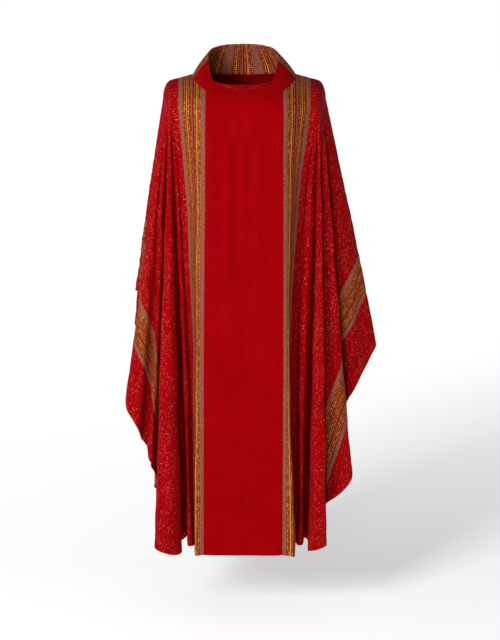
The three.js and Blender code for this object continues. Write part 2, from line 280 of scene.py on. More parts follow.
class Sheet:
    """One layer of cloth being gathered up row by row, before it is given its thickness."""

    def __init__(self):
        self.flat, self.faces, self.last = [], [], None
        self.count = 0

    def row(self, u, v, at):
        ids = list(range(self.count, self.count + len(u)))
        self.count += len(u)
        self.flat.append(np.stack([u, v], -1))
        if self.last:
            self.faces += zipper(self.last[0], ids, self.last[1], at)
        self.last = (ids, list(at))


def thicken(name, points, faces, flat, thick, flip=False):
    """A closed sheet of the given thickness from one layer, with the flat pattern as its UV map."""
    points = np.asarray(points, float) * 0.001
    if flip:
        faces = [tuple(reversed(f)) for f in faces]
    # points that fall together become one
    key = np.round(points / 2e-6).astype(np.int64)
    _, first, same = np.unique(key, axis=0, return_index=True, return_inverse=True)
    same = same.reshape(-1)
    points, flat, thick = points[first], np.asarray(flat)[first], np.broadcast_to(thick, len(same))[first]
    clean = []
    for f in faces:
        ring = [int(same[i]) for i in f]
        ring = [a for a, b in zip(ring, ring[1:] + ring[:1]) if a != b]
        if len(set(ring)) == len(ring) and len(ring) > 2:
            clean.append(tuple(ring))
    single = bpy.data.meshes.new("single")
    single.from_pydata(points.tolist(), [], clean)
    single.update()
    normals = np.empty(len(points) * 3)
    single.vertex_normals.foreach_get("vector", normals)
    normals = normals.reshape(-1, 3)
    bpy.data.meshes.remove(single)
    half = normals * (thick[:, None] * 0.0005)
    count = len(points)
    used = {}
    for f in clean:
        for a, b in zip(f, f[1:] + f[:1]):
            used[(a, b)] = used.get((a, b), 0) + 1
    rim = [(a, b) for (a, b) in used if (b, a) not in used]
    walls = [(b, a, a + count, b + count) for a, b in rim]
    under = [tuple(i + count for i in reversed(f)) for f in clean]
    mesh = bpy.data.meshes.new(name)
    mesh.from_pydata(np.vstack([points + half, points - half]).tolist(), [], clean + under + walls)
    mesh.update()
    corner = np.empty(len(mesh.loops), np.int64)
    mesh.loops.foreach_get("vertex_index", corner)
    layer = mesh.uv_layers.new(name="flat")
    both = np.vstack([flat, flat]) * 0.001
    layer.data.foreach_set("uv", both[corner].astype(np.float32).ravel())
    mesh.shade_smooth()
    edges = np.empty(len(mesh.edges) * 2, np.int64)
    mesh.edges.foreach_get("vertices", edges)
    pairs = {tuple(sorted(e)) for e in rim} | {tuple(sorted((a + count, b + count))) for a, b in rim}
    ends = edges.reshape(-1, 2).tolist()
    sharp = np.fromiter((tuple(sorted(e)) in pairs for e in ends), bool, len(mesh.edges))
    mesh.attributes.new("sharp_edge", "BOOLEAN", "EDGE").data.foreach_set("value", sharp)
    obj = bpy.data.objects.new(name, mesh)
    bpy.context.scene.collection.objects.link(obj)
    return obj


def seam_spread(length, step, near=(0, 1.6, 4.2, 8)):
    """Distances along a strip: close together at both seams, and about a step apart between them."""
    inner = list(np.linspace(near[-1], length - near[-1], max(2, round((length - 2 * near[-1]) / step) + 1)))
    return np.array(list(near[:-1]) + inner + [length - n for n in reversed(near[:-1])])


def edge_distance(u, lines):
    """Distance across the pattern to the nearest of the straight seams."""
    return np.min([np.abs(u - line) for line in lines], axis=0)


def worn(points, side, back, u, v, seams):
    """Sinks the cloth a little into its seams, puckers it along them and makes it slightly uneven."""
    e = 0.4
    across = hang(side, back, np.abs(u) + e, v) - hang(side, back, np.abs(u) - e, v)
    down = hang(side, back, np.abs(u), v + e) - hang(side, back, np.abs(u), v - e)
    normal = np.cross(across, down)
    normal *= 1 if (side.sign < 0) != back else -1
    normal /= np.maximum(np.linalg.norm(normal, axis=-1, keepdims=True), 1e-9)
    seed = 40 + 2 * (side.sign > 0) + back
    away = edge_distance(np.abs(u), seams)
    sunk = -SEAM_SINK * np.exp(-((away / 2.4) ** 2))
    pucker = waves(v / 16, u / 90, seed + 7, 4) * np.exp(-((away / 14) ** 2))
    broad = BROAD_UNEVENNESS * waves(u / 150, v / 260, seed, 6) * ease((v - 60) / 300)
    small = SMALL_UNEVENNESS * waves(u / 38, v / 70, seed + 3, 6) * ease((v - 40) / 150)
    offset = sunk + PUCKER * pucker + broad + small
    return points + normal * offset[..., None]


COLUMN = 5.0
ROW = 11.0
# usual lengths of the lines that run down the side panels and across the two panels beyond them
USUAL_FALL = 1250
LONGEST_FALL = 1350
SLEEVE_SLANT = 110
OUTER_SLANT = 170


def strip_rows(u, back):
    """Rows of a strip of the pattern whose columns are at u, from its top edge to the hem."""
    top = top_edge(np.abs(u), back)
    hem = hem_line(np.abs(u))
    count = round(float((hem - top).max()) / ROW)
    for share in np.linspace(0, 1, count + 1):
        yield u, lerp(top, hem, share), u


def reach_to_edge(angle):
    near, far = np.full_like(angle, 100.0), np.full_like(angle, 1700.0)
    for _ in range(50):
        middle = (near + far) / 2
        u, v = TIP_U + middle * np.sin(angle), TIP_V + middle * np.cos(angle)
        inside = (u < HALF_WIDTH) & (v < hem_line(np.minimum(u, HALF_WIDTH)))
        near, far = np.where(inside, middle, near), np.where(inside, far, middle)
    return near


def corner_angle(u):
    return math.atan2(u - TIP_U, float(hem_line(np.float64(u))) - TIP_V)


def fan_angles(side, back):
    """Angles of the lines that fan out from the shoulder tip, closest together where a fold turns sharply."""
    rate = side.back_rate if back else side.front_rate
    steps = 4000
    angle = np.linspace(0, FOLD_ANGLE, steps + 1)
    x, y = side.plan(TIP_U + rate * angle, back)
    heading = np.unwrap(np.arctan2(np.gradient(y), np.gradient(x)))
    weight = np.abs(np.gradient(heading)) / 0.11 + rate * FOLD_ANGLE / steps / 8.5
    total = np.concatenate([[0], np.cumsum(weight[:-1])])
    count = int(math.ceil(total[-1]))
    found = np.interp(np.linspace(0, total[-1], count + 1), total, angle)
    fixed = [corner_angle(SLEEVE_BAND_START), corner_angle(SLEEVE_BAND_END)]
    for f in fixed:
        found[np.argmin(np.abs(found - f))] = f
    return found


FAN = {(s.sign, back): fan_angles(s, back) for s in (LEFT, RIGHT) for back in (False, True)}

# ---------------------------------------------------------------- cloth simulation

SETTLE_ROWS = 40
SETTLE_FRAMES = 26
SETTLE_LIMIT = 7
INNER_COLUMNS = np.linspace(0, TIP_U, 11)


def coarse_grid(side, back):
    """A coarse sheet of one quarter of the garment: pattern places by row and column."""
    t = np.linspace(0, 1, SETTLE_ROWS + 1)[:, None]
    angles = FAN[side.sign, back]
    angles = angles[np.unique(np.concatenate([np.arange(0, len(angles), 5), [len(angles) - 1]]))][1:]
    inner_v = lerp(top_edge(INNER_COLUMNS, back), hem_line(INNER_COLUMNS), t)
    reach = reach_to_edge(angles) * t
    u = np.hstack([np.broadcast_to(INNER_COLUMNS, inner_v.shape), TIP_U + reach * np.sin(angles)])
    v = np.hstack([inner_v, TIP_V + reach * np.cos(angles)])
    column = np.concatenate([INNER_COLUMNS / TIP_U - 1, angles / FOLD_ANGLE])
    return column, u, v


def settle():
    """Hangs a coarse copy of the garment as cloth under gravity and returns how far its points moved."""
    grids, places, faces, start = {}, [], [], 0
    for side in (LEFT, RIGHT):
        for back in (False, True):
            column, u, v = coarse_grid(side, back)
            ids = start + np.arange(u.size).reshape(u.shape)
            grids[side.sign, back] = (column, ids)
            places.append(np.concatenate([hang(side, back, u, v), v[..., None]], -1).reshape(-1, 4))
            quads = np.stack([ids[:-1, :-1], ids[1:, :-1], ids[1:, 1:], ids[:-1, 1:]], -1).reshape(-1, 4)
            faces.append(quads[:, ::-1] if (side.sign < 0) != back else quads)
            start += u.size
    places = np.vstack(places)
    _, first, same = np.unique(np.round(places[:, :3] / 0.02), axis=0, return_index=True, return_inverse=True)
    same = same.reshape(-1)
    rings = []
    for face in same[np.vstack(faces)].tolist():
        ring = [a for a, b in zip(face, face[1:] + face[:1]) if a != b]
        if len(set(ring)) == len(ring) > 2:
            rings.append(ring)
    still = places[first, :3] * 0.001
    mesh = bpy.data.meshes.new("settling")
    mesh.from_pydata(still.tolist(), [], rings)
    obj = bpy.data.objects.new("settling", mesh)
    bpy.context.scene.collection.objects.link(obj)
    # held at the neck and over the shoulders, loosely further down
    below = places[first, 3]
    hold = lerp(1.0, 0.12, ease((below - 130) / 420))
    group = obj.vertex_groups.new(name="hold")
    for index, weight in enumerate(hold.tolist()):
        group.add([index], weight, "REPLACE")
    cloth = obj.modifiers.new("cloth", "CLOTH")
    cloth.settings.quality = 6
    cloth.settings.mass = 0.25
    cloth.settings.tension_stiffness = 12
    cloth.settings.compression_stiffness = 12
    cloth.settings.shear_stiffness = 4
    cloth.settings.bending_stiffness = 0.15
    cloth.settings.air_damping = 2
    cloth.settings.shrink_min = -0.02
    cloth.settings.vertex_group_mass = "hold"
    cloth.settings.pin_stiffness = 0.6
    cloth.point_cache.frame_start = 1
    cloth.point_cache.frame_end = SETTLE_FRAMES
    scene = bpy.context.scene
    for frame_number in range(1, SETTLE_FRAMES + 1):
        scene.frame_set(frame_number)
    moved = np.empty(len(first) * 3)
    obj.evaluated_get(bpy.context.evaluated_depsgraph_get()).data.vertices.foreach_get("co", moved)
    shift = (moved.reshape(-1, 3) - still) * 1000
    # the even lengthening is taken out, and how far a place moves is limited; folds that lie within
    # that of each other can still meet
    band = np.round(below / 40).astype(int)
    shift[:, 2] -= (np.bincount(band, shift[:, 2]) / np.maximum(np.bincount(band), 1))[band]
    far = np.maximum(np.linalg.norm(shift, axis=1, keepdims=True), 1e-6)
    shift *= SETTLE_LIMIT * np.tanh(far / SETTLE_LIMIT) / far
    bpy.data.objects.remove(obj)
    bpy.data.meshes.remove(mesh)
    scene.frame_set(1)
    return {key: (column, shift[same[ids]]) for key, (column, ids) in grids.items()}


def cubic_weights(t):
    return [
        ((-0.5 * t + 1) * t - 0.5) * t, (1.5 * t - 2.5) * t * t + 1,
        ((-1.5 * t + 2) * t + 0.5) * t, (0.5 * t - 0.5) * t * t,
    ]


SETTLED = settle()


def settled(side, back, u, v):
    """How far the simulation moved places of the pattern, in millimetres."""
    if not SETTLED:
        return 0.0
    column, shift = SETTLED[side.sign, back]
    angle = np.arctan2(np.maximum(u - TIP_U, 0), np.maximum(v - TIP_V, 1e-6))
    table = np.linspace(0, FOLD_ANGLE, 400)
    reach = np.interp(angle, table, reach_to_edge(table))
    inner = u <= TIP_U
    top, hem = top_edge(np.minimum(u, TIP_U), back), hem_line(np.minimum(u, TIP_U))
    row = np.where(inner, (v - top) / (hem - top), np.hypot(u - TIP_U, v - TIP_V) / reach)
    row = np.clip(row, 0, 1) * SETTLE_ROWS
    place = np.interp(np.where(inner, u / TIP_U - 1, angle / FOLD_ANGLE), column, np.arange(len(column)))
    i, j = np.minimum(row.astype(int), SETTLE_ROWS - 1), np.minimum(place.astype(int), len(column) - 2)
    total = 0.0
    for di, wi in enumerate(cubic_weights(row - i)):
        for dj, wj in enumerate(cubic_weights(place - j)):
            a, b = np.clip(i + di - 1, 0, SETTLE_ROWS), np.clip(j + dj - 1, 0, len(column) - 1)
            total = total + shift[a, b] * (wi * wj)[:, None]
    return total


# ---------------------------------------------------------------- panels


def build(side, back, kind):
    """The sheet of one panel: its pattern points, faces and hanging shape."""
    sheet = Sheet()
    inner_corner, outer_corner = corner_angle(SLEEVE_BAND_START), corner_angle(SLEEVE_BAND_END)
    seams = {
        "orphrey": (CENTRE_HALF, ORPHREY_END),
        "side": (ORPHREY_END, SLEEVE_BAND_START),
        "sleeve": (SLEEVE_BAND_START, SLEEVE_BAND_END),
        "outer": (SLEEVE_BAND_END,),
    }[kind]
    if kind == "orphrey":
        u = CENTRE_HALF + seam_spread(ORPHREY_END - CENTRE_HALF, COLUMN)
        u[np.argmin(np.abs(u - NECK_SIDE_U))] = NECK_SIDE_U
        for row in strip_rows(u, back):
            sheet.row(*row)
    elif kind == "side":
        angles = FAN[side.sign, back]
        inner = np.array([ORPHREY_END, ORPHREY_END + 1.6, ORPHREY_END + 4.2, 194, 199.5])
        ends = reach_to_edge(angles)
        cut = angles >= inner_corner - 1e-9
        ends = np.where(cut, (SLEEVE_BAND_START - TIP_U) / np.sin(np.maximum(angles, 1e-6)), ends)
        ends[0] = float(hem_line(np.float64(TIP_U))) - TIP_V
        count = round(float(ends.max()) / ROW)
        shares = list(np.linspace(0, 1, count + 1))
        shares = shares[:-1] + [1 - 4.2 / USUAL_FALL, 1 - 1.6 / USUAL_FALL, 1]
        for share in shares:
            reach = share * LONGEST_FALL
            skip = 8 if reach < 45 else 4 if reach < 130 else 2 if reach < 300 else 1
            keep = np.arange(len(angles)) % skip == 0
            keep[-1] = True
            a, r = angles[keep], ends[keep] * share
            top, hem = top_edge(inner, back), hem_line(inner)
            su = np.concatenate([inner, TIP_U + r * np.sin(a)])
            sv = np.concatenate([lerp(top, hem, share), TIP_V + r * np.cos(a)])
            sheet.row(su, sv, np.concatenate([inner - TIP_U, a]))
    else:
        u0, u1, first = (
            (SLEEVE_BAND_START, SLEEVE_BAND_END, inner_corner) if kind == "sleeve"
            else (SLEEVE_BAND_END, HALF_WIDTH + 50, outer_corner)
        )
        angles = FAN[side.sign, back]
        angles = angles[angles >= first - 1e-9]
        edge = reach_to_edge(angles)
        sine = np.sin(angles)
        near, far = np.minimum((u0 - TIP_U) / sine, edge), np.minimum((u1 - TIP_U) / sine, edge)
        slant = SLEEVE_SLANT if kind == "sleeve" else OUTER_SLANT
        spread = seam_spread(slant, ROW * 0.8) / slant
        for share in spread:
            r = lerp(near, far, share)
            sheet.row(TIP_U + r * np.sin(angles), TIP_V + r * np.cos(angles), angles)
    flat = np.vstack(sheet.flat)
    points = hang(side, back, flat[:, 0], flat[:, 1]) + settled(side, back, flat[:, 0], flat[:, 1])
    points = worn(points, side, back, flat[:, 0], flat[:, 1], seams)
    return sheet, flat, points


def hem_thickness(u, v):
    """The cloth is turned up along the hem, so it is about twice as thick there."""
    short = hem_line(np.abs(u)) - v
    side_short = HALF_WIDTH - np.abs(u)
    away = np.minimum(short, np.where(v > SIDE_STRAIGHT_TO - 400, side_short, 1e3))
    return CLOTH + HEM_EXTRA * (1 - ease((away - HEM_TURN + 3) / 5))


PIECES = {}


def finish_piece(obj):
    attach(obj, "root")
    PIECES[obj.name] = obj


def make_panel(name, node, side, back, kind):
    sheet, flat, points = build(side, back, kind)
    flip = (side.sign < 0) != back
    thick = hem_thickness(flat[:, 0], flat[:, 1])
    obj = thicken(name, points, sheet.faces, flat, thick, flip)
    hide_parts(node)
    finish_piece(obj)
    return obj


def make_centre(name, node, back):
    """The plain panel spans both halves."""
    sheet = Sheet()
    half = seam_spread(CENTRE_HALF * 2, COLUMN * 1.2) - CENTRE_HALF
    for row in strip_rows(half, back):
        sheet.row(*row)
    flat = np.vstack(sheet.flat)
    out, down = np.abs(flat[:, 0]), flat[:, 1]
    halves = []
    for side in (LEFT, RIGHT):
        hung = hang(side, back, out, down) + settled(side, back, out, down)
        halves.append(worn(hung, side, back, out, down, (CENTRE_HALF,)))
    points = np.where((flat[:, 0] < 0)[:, None], *halves)
    obj = thicken(name, points, sheet.faces, flat, hem_thickness(flat[:, 0], flat[:, 1]), back)
    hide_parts(node)
    finish_piece(obj)
    return obj


for back, layer in ((False, "front"), (True, "back")):
    make_centre(f"{layer}_centre_cloth", f"{layer}_centre_panel", back)
    for side, hand in ((LEFT, "left"), (RIGHT, "right")):
        for kind, node, slot in (
            ("orphrey", "orphrey", "band_cloth"), ("side", "side_panel", "flecked_cloth"),
            ("sleeve", "sleeve_band", "band_cloth"), ("outer", "outer_panel", "flecked_cloth"),
        ):
            make_panel(f"{layer}_{hand}_{kind}_cloth", f"{layer}_{hand}_{node}", side, back, kind)

# ---------------------------------------------------------------- collar

COLLAR_TOP = [
    (0, -92, -16), (48, -89, -14), (80, -77, -7), (94, -38, 24), (96, 12, 50),
    (88, 40, 60), (64, 66, 64), (34, 77, 66), (0, 80, 66),
]
SIDE_SEAM = 0.44
COLLAR_BULGE = 4
FACING_INSET = 4.0
LENS_SHARE = 0.22
collar_line = smooth_curve(COLLAR_TOP)[0]


def facing_out(side, back, u, v):
    e = 0.05
    across = hang(side, back, u + e, v) - hang(side, back, np.maximum(u - e, 0), v)
    down = hang(side, back, u, v + e) - hang(side, back, u, v - e)
    n = np.cross(down, across) * side.sign * (-1 if back else 1)
    return n / np.linalg.norm(n, axis=-1, keepdims=True)


def collar_point(around, up):
    """Where the collar stands. Around runs from -1 at the centre back, by the left side and 0 at the
    centre front, to 1, and up runs from 0 at the seam to 1 at the upper edge."""
    around, up = np.broadcast_arrays(np.asarray(around, float), np.asarray(up, float))
    turned = np.where(around > 1, around - 2, around)
    share = np.abs(turned)
    behind = share > 0.5
    u = NECK_SIDE_U * np.sin(np.where(behind, 1 - share, share) * math.pi)
    base = np.zeros(around.shape + (3,))
    for side in (LEFT, RIGHT):
        for back in (False, True):
            pick = (behind == back) & ((turned < 0) == (side.sign < 0))
            if pick.any():
                v = top_edge(u[pick], back) + 3
                base[pick] = hang(side, back, u[pick], v) + facing_out(side, back, u[pick], v) * (CLOTH + 0.1)
    spot = share * (len(collar_line) - 1)
    grid = np.arange(len(collar_line))
    top = np.stack([np.interp(spot, grid, collar_line[:, k]) for k in range(3)], -1)
    top[..., 0] *= np.where(turned < 0, -1, 1)
    point = base + (top - base) * up[..., None]
    outward = point.copy()
    outward[..., 2] = 0
    outward /= np.linalg.norm(outward, axis=-1, keepdims=True)
    return point + outward * (COLLAR_BULGE * np.sin(math.pi * up))[..., None]


def collar_frame(around, up):
    """A point on the collar with the directions out of it and up it."""
    e = 1e-3
    s = min(max(up, e), 1 - e)
    across = collar_point(around + e, s) - collar_point(around - e, s)
    rise = collar_point(around, s + e) - collar_point(around, s - e)
    out = np.cross(across, rise)
    out /= np.linalg.norm(out, axis=-1, keepdims=True)
    rise /= np.linalg.norm(rise, axis=-1, keepdims=True)
    return collar_point(around, up), out, rise


def collar_rows(around, outer_end, inner_end, outer, inner):
    """Rows of a strip turned over the collar's upper edge, from low on its inside to its outer end."""
    rows = []
    for up in np.linspace(inner_end, 1, 14):
        point, out, _ = collar_frame(around, up)
        rows.append(point - out * inner)
    point, out, rise = collar_frame(around, 1)
    for turned in np.linspace(math.pi, 0, 9)[1:-1]:
        away = out * math.cos(turned) + rise * math.sin(turned)
        rows.append(point - out * (outer + inner) / 2 + away * (inner - outer) / 2)
    for share in np.linspace(0, 1, 16):
        point = collar_point(around, lerp(1, outer_end, share))
        _, out, _ = collar_frame(around, float(np.clip(np.mean(lerp(1, outer_end, share)), 0, 1)))
        rows.append(point - out * outer)
    return rows


def straight_rows(around, low, high, inset):
    rows = []
    for up in np.linspace(low, high, 18):
        point, out, _ = collar_frame(around, up)
        rows.append(point - out * inset)
    return rows


def make_collar(name, node, around, rows, thick):
    """A strip of the collar from its rows of points, with its own pattern of length by height."""
    sheet = Sheet()
    for index in range(len(rows)):
        sheet.row(around, np.full_like(around, index), around)
    grid = np.stack(rows)
    run = np.linalg.norm(np.diff(grid, axis=1), axis=2).mean(0)
    run = np.concatenate([[0], np.cumsum(run)])
    rise = np.linalg.norm(np.diff(grid, axis=0), axis=2)
    rise = np.concatenate([np.zeros((1, grid.shape[1])), np.cumsum(rise, 0)])
    flat = np.stack([np.broadcast_to(run, rise.shape), rise], -1)
    # small creases and puckers, none at the ends and edges
    wave = waves(run / 34, rise / 60, len(name), 6) + 0.6 * waves(run / 13, rise / 45, len(name) + 1, 5)
    across = np.gradient(grid, axis=1)
    up = np.gradient(grid, axis=0)
    normal = np.cross(across, up)
    normal /= np.maximum(np.linalg.norm(normal, axis=-1, keepdims=True), 1e-9)
    height = np.sin(math.pi * np.clip(rise / rise[-1], 0, 1)) ** 0.7
    grid = grid + normal * (COLLAR_CREASE * wave * height)[..., None]
    flat = flat.reshape(-1, 2)
    obj = thicken(name, grid.reshape(-1, 3), sheet.faces, flat, thick, True)
    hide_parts(node)
    finish_piece(obj)
    return obj


front_run = np.linspace(-SIDE_SEAM, SIDE_SEAM, 150)
band_run = np.linspace(SIDE_SEAM, 2 - SIDE_SEAM, 190)
whole_run = np.linspace(-1, 1, 200)
lens = 0.97 - 0.24 * np.maximum(1 - (front_run / LENS_SHARE) ** 2, 0)
make_collar("collar_strip", "collar_front", front_run, straight_rows(front_run, 0, 1, 0), 1.0)
make_collar("collar_side_and_back", "collar_band", band_run,
            collar_rows(band_run, 0.0, 0.04, 0, FACING_INSET), 1.0)
make_collar("collar_stiffening", "collar_interfacing", whole_run,
            straight_rows(whole_run, 0.1, 0.94, 2.0), 0.6)
make_collar("collar_lining", "collar_facing", front_run,
            collar_rows(front_run, lens, 0.04, -1.4, FACING_INSET), 0.9)

# ---------------------------------------------------------------- materials


class Material:
    """A node material written as a small tree of values."""

    def __init__(self, name):
        self.material = bpy.data.materials.new(name)
        self.material.use_nodes = True
        self.tree = self.material.node_tree
        self.tree.nodes.clear()
        self.shader = self.tree.nodes.new("ShaderNodeBsdfPrincipled")
        out = self.tree.nodes.new("ShaderNodeOutputMaterial")
        self.tree.links.new(self.shader.outputs[0], out.inputs[0])
        uv = self.tree.nodes.new("ShaderNodeUVMap")
        uv.uv_map = "flat"
        split = self.tree.nodes.new("ShaderNodeSeparateXYZ")
        self.tree.links.new(uv.outputs[0], split.inputs[0])
        self.uv, self.u, self.v = uv.outputs[0], split.outputs[0], split.outputs[1]

    def put(self, socket, value):
        if isinstance(value, bpy.types.NodeSocket):
            self.tree.links.new(value, socket)
        elif isinstance(value, (tuple, list)) and len(value) == 3 and socket.type == "RGBA":
            socket.default_value = (*value, 1)
        else:
            socket.default_value = value

    def node(self, kind, inputs=(), **settings):
        node = self.tree.nodes.new(kind)
        for key, value in settings.items():
            setattr(node, key, value)
        for key, value in dict(inputs).items():
            self.put(node.inputs[key], value)
        return node

    def math(self, operation, a, b=0.0, c=0.0):
        return self.node("ShaderNodeMath", {0: a, 1: b, 2: c}, operation=operation).outputs[0]

    def vector(self, x, y, z=0.0):
        return self.node("ShaderNodeCombineXYZ", {0: x, 1: y, 2: z}).outputs[0]

    def mix(self, share, a, b, blend="MIX"):
        node = self.node("ShaderNodeMix", data_type="RGBA", blend_type=blend, clamp_factor=True)
        self.put(node.inputs[0], share)
        self.put(node.inputs[6], a)
        self.put(node.inputs[7], b)
        return node.outputs[2]

    def noise(self, vector, scale, detail=2.0, roughness=0.5):
        node = self.node("ShaderNodeTexNoise", {"Scale": scale, "Detail": detail, "Roughness": roughness})
        self.put(node.inputs["Vector"], vector)
        return node.outputs[0]

    def step(self, value, low, high):
        node = self.node("ShaderNodeMapRange", {0: value, 1: low, 2: high}, interpolation_type="SMOOTHSTEP")
        return node.outputs[0]

    def bump(self, height, distance, strength=1.0, after=None):
        node = self.node("ShaderNodeBump", {"Strength": strength, "Distance": distance, "Height": height})
        if after is not None:
            self.put(node.inputs["Normal"], after)
        return node.outputs[0]

    def weave(self, pitch):
        """Threads over and under each other: 0 between them and 1 on top."""
        turn = 2 * math.pi / pitch
        a = self.math("SINE", self.math("MULTIPLY", self.u, turn))
        b = self.math("SINE", self.math("MULTIPLY", self.v, turn))
        return self.math("MULTIPLY_ADD", self.math("MULTIPLY", a, b), 0.5, 0.5)


def set_cloth(material, colour, roughness, sheen, tint):
    s = material.shader.inputs
    material.put(s["Base Color"], colour)
    material.put(s["Roughness"], roughness)
    s["Specular IOR Level"].default_value = 0.12
    s["Specular Tint"].default_value = (*tint, 1)
    s["Sheen Weight"].default_value = sheen
    s["Sheen Roughness"].default_value = 0.5
    s["Sheen Tint"].default_value = (*tint, 1)


RED = (0.30, 0.0002, 0.0026)
RED_DEEP = (0.215, 0.0002, 0.0013)
STITCH_PITCH = 0.0034


def wool_ground(m):
    """Crepe wool: fine threads, faint lengthwise streaks and a slow change of tone."""
    streak = m.noise(m.vector(m.math("MULTIPLY", m.u, 420), m.math("MULTIPLY", m.v, 30)), 1.0, 3.0, 0.6)
    tone = m.noise(m.uv, 9.0, 3.0)
    crepe = m.noise(m.uv, 1500.0, 2.0, 0.7)
    shade = m.math("ADD", m.math("MULTIPLY", streak, 0.65), m.math("MULTIPLY", tone, 0.35))
    colour = m.mix(m.step(shade, 0.3, 0.7), RED_DEEP, RED)
    colour = m.mix(m.math("MULTIPLY", m.step(crepe, 0.35, 0.6), 0.25), colour, RED_DEEP)
    height = m.math("ADD", m.math("MULTIPLY", crepe, 0.6), m.math("MULTIPLY", m.weave(0.0011), 0.5))
    height = m.math("ADD", height, m.math("MULTIPLY", streak, 0.8))
    return colour, height


def stitched(m, colour, height, lines):
    """Small stitches along straight lines of the pattern: dents with a thread between them, the dents painted
    darker as shade.
    """
    run = m.math("PINGPONG", m.v, STITCH_PITCH / 2)
    thread = m.step(run, STITCH_PITCH * 0.12, STITCH_PITCH * 0.2)
    for line in lines:
        off = m.math("ABSOLUTE", m.math("SUBTRACT", m.math("ABSOLUTE", m.u), line))
        row = m.step(off, 0.0011, 0.0004)
        # painted shade: the stitch line is darkened towards deep red, most in the dents between the threads
        colour = m.mix(m.math("MULTIPLY", row, m.math("MULTIPLY_ADD", thread, -0.35, 0.5)), colour, RED_DEEP)
        height = m.math("ADD", height, m.math("MULTIPLY", row, m.math("MULTIPLY_ADD", thread, 1.1, -1.4)))
    return colour, height


def plain_wool():
    m = Material("plain_wool")
    colour, height = wool_ground(m)
    colour, height = stitched(m, colour, height, [0.1065])
    set_cloth(m, colour, 0.9, 0.10, (0.8, 0.05, 0.06))
    m.put(m.shader.inputs["Normal"], m.bump(height, 0.00028, 0.6))
    return m.material


def glints(m, width, length, slope, threshold, lowest, highest):
    """Small metallic floats lying in slanting streaks: how strongly one shows, and a value of its own."""
    zigzag = m.math("PINGPONG", m.v, 0.019)
    x = m.math("MULTIPLY_ADD", zigzag, slope, m.u)
    place = m.vector(m.math("MULTIPLY", x, 1 / width), m.math("MULTIPLY", m.v, 1 / length))
    cells = m.node("ShaderNodeTexVoronoi", {"Scale": 1.0, "Randomness": 0.95}, voronoi_dimensions="2D")
    m.put(cells.inputs["Vector"], place)
    pick = m.node("ShaderNodeSeparateColor", {0: cells.outputs["Color"]})
    streaks = m.noise(m.vector(m.math("MULTIPLY", x, 55), m.math("MULTIPLY", m.v, 8)), 1.0, 2.0)
    chosen = m.math("GREATER_THAN", m.math("MULTIPLY_ADD", streaks, 1.3, pick.outputs[0]), threshold)
    spot = m.math("MULTIPLY", chosen, m.step(cells.outputs["Distance"], highest, lowest))
    return spot, pick.outputs[1]


def flecked():
    m = Material("flecked_cloth")
    colour, height = wool_ground(m)
    large, tone = glints(m, 0.0032, 0.0080, 0.34, 1.36, 0.13, 0.27)
    small, faint = glints(m, 0.0022, 0.0062, -0.5, 1.34, 0.16, 0.30)
    spot = m.math(
        "MAXIMUM", m.math("MULTIPLY", large, m.math("MULTIPLY_ADD", tone, 0.6, 0.35)),
        m.math("MULTIPLY", small, m.math("MULTIPLY_ADD", faint, 0.35, 0.06)),
    )
    fleck = m.mix(tone, (0.50, 0.038, 0.030), (0.82, 0.30, 0.18))
    colour = m.mix(m.math("MULTIPLY", spot, 0.9), colour, fleck)
    colour, height = stitched(m, colour, height, [0.1885, 0.5915, 0.6835])
    set_cloth(m, colour, 0.85, 0.06, (0.8, 0.05, 0.06))
    m.put(m.shader.inputs["Metallic"], m.math("MULTIPLY", spot, 0.95))
    m.put(m.shader.inputs["Roughness"], m.math("MULTIPLY_ADD", spot, -0.48, 0.85))
    bump = m.bump(height, 0.00028, 0.6)
    relief = m.math("MULTIPLY", spot, m.math("ADD", tone, 0.4))
    m.put(m.shader.inputs["Normal"], m.bump(relief, 0.0004, 0.8, bump))
    return m.material


TAUPE_DARK = (0.15, 0.036, 0.024)
TAUPE_LIGHT = (0.28, 0.100, 0.062)
MAUVE = (0.19, 0.045, 0.050)
RUST = (0.20, 0.004, 0.002)
DARK_RED = (0.15, 0.001, 0.002)
GOLD = (0.34, 0.125, 0.012)
# bright gold: a brighter gold thread, also used for glints painted onto the floats and lines
GOLD_AND_PAINTED_GLINT = (0.85, 0.50, 0.11)


